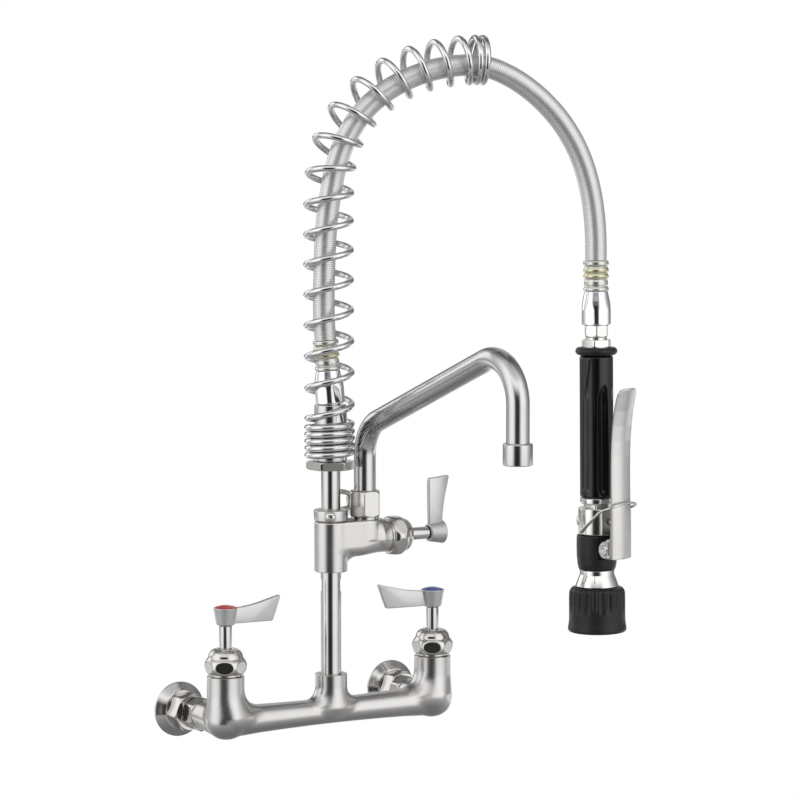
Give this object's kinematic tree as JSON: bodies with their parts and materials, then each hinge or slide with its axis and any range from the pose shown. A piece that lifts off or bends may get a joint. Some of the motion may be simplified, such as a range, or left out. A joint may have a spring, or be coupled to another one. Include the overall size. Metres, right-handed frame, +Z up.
{
  "type": "pre rinse faucet",
  "caption": "Wall mounted kitchen tap with two lever valves, a pot filler spout on its riser, and a spring supported hose that ends in a trigger spray.",
  "frame": {"origin": "on the wall plane, midway between the two inlets and level with them", "axes": "+X to the right along the wall, +Y into the wall, +Z up"},
  "size_m": [0.3735, 0.324, 0.5955],
  "materials": {
    "steel": "satin",
    "chrome": "polished",
    "brass": "machined",
    "cast_lever": "fine satin",
    "black_rubber": "matt",
    "black_grip": "glossy",
    "braided_hose": "clear sheath over a fine steel braid",
    "ferrule": "bright, slightly yellow",
    "hot_index": "satin",
    "cold_index": "satin"
  },
  "bodies": {
    "body": {"mixer_body": "steel", "wall_flange_hot": "steel", "wall_flange_cold": "steel", "supply_nipple_hot": "brass", "supply_nipple_cold": "brass", "flange_locknut_hot": "steel", "flange_locknut_cold": "steel", "union_nut_hot": "steel", "union_nut_cold": "steel", "bonnet_nut_hot": "steel", "bonnet_nut_cold": "steel", "bonnet_nut_filler": "steel", "cartridge_hot": "brass", "cartridge_cold": "brass", "cartridge_filler": "brass", "lower_riser": "steel", "filler_body": "steel", "upper_riser": "steel", "hook_clamp": "steel", "hook_clamp_screw": "steel", "spray_hook": "steel", "spring_collar": "steel", "swivel_sleeve": "steel", "spout_nut": "steel"},
    "hot_handle": {"stem_hot": "steel", "handle_hot": "steel", "handle_screw_hot": "steel", "index_disc_hot": "hot_index"},
    "cold_handle": {"stem_cold": "steel", "handle_cold": "steel", "handle_screw_cold": "steel", "index_disc_cold": "cold_index"},
    "filler_handle": {"stem_filler": "steel", "handle_filler": "steel", "handle_screw_filler": "steel"},
    "spout": {"spout_tube": "steel", "spout_outlet": "steel", "flow_straightener": "steel"},
    "overhead": {"spring": "chrome", "lower_hose_fitting": "chrome", "lower_ferrule": "ferrule", "hose": "braided_hose", "upper_ferrule": "ferrule", "upper_hose_fitting": "chrome", "swivel_nut": "steel"},
    "spray": {"handle_bushing": "steel", "rubber_ring": "black_rubber", "grip": "black_grip", "handle_tube": "steel", "grip_end_ring": "steel", "spray_valve_body": "steel", "rubber_sleeve": "black_rubber", "nozzle_cone": "steel", "spray_bumper": "black_rubber", "spray_face": "steel", "lever_pivot_screw": "steel"},
    "lever": {"squeeze_lever": "cast_lever"},
    "plunger": {"valve_plunger": "brass"},
    "bail": {"hold_bail": "steel"}
  },
  "joints": [
    {"name": "hot_handle_turn", "type": "hinge", "parent": "body", "child": "hot_handle", "pos_m": [-0.1016, -0.0778, 0.082], "axis": [0, 0, 1], "range_deg": [-90, 0]},
    {"name": "cold_handle_turn", "type": "hinge", "parent": "body", "child": "cold_handle", "pos_m": [0.1016, -0.0778, 0.082], "axis": [0, 0, 1], "range_deg": [0, 90]},
    {"name": "filler_handle_turn", "type": "hinge", "parent": "body", "child": "filler_handle", "pos_m": [0.098, -0.0778, 0.1464], "axis": [1, 0, 0], "range_deg": [0, 90]},
    {"name": "spout_turn", "type": "hinge", "parent": "body", "child": "spout", "pos_m": [0.0336, -0.0778, 0.175], "axis": [0, 0, 1], "range_deg": [-20, 50]},
    {"name": "overhead_turn", "type": "hinge", "parent": "body", "child": "overhead", "pos_m": [0, -0.0778, 0.25], "axis": [0, 0, 1], "range_deg": [-40, 25]},
    {"name": "spray_turn", "type": "hinge", "parent": "overhead", "child": "spray", "pos_m": [0.21737, -0.15692, 0.31], "axis": [-0.0082, 0.003, 1], "continuous": true},
    {"name": "lever_squeeze", "type": "hinge", "parent": "spray", "child": "lever", "pos_m": [0.22333, -0.17703, 0.1344], "axis": [-0.9743, -0.225, -0.0073], "range_deg": [0, 6], "stiffness_Nm_per_rad": 1.5, "springref_deg": -5.73},
    {"name": "plunger_push", "type": "slide", "parent": "spray", "child": "plunger", "axis": [-0.2249, 0.9744, -0.0048], "range_m": [0, 0.0025]},
    {"name": "bail_turn", "type": "hinge", "parent": "spray", "child": "bail", "pos_m": [0.2178, -0.1535, 0.14819], "axis": [0.9743, 0.225, 0.0073], "range_deg": [0, 48]}
  ],
  "couplings": [
    {"joint": "plunger_push", "follows": "lever_squeeze", "m_per_rad": 0.0227}
  ]
}
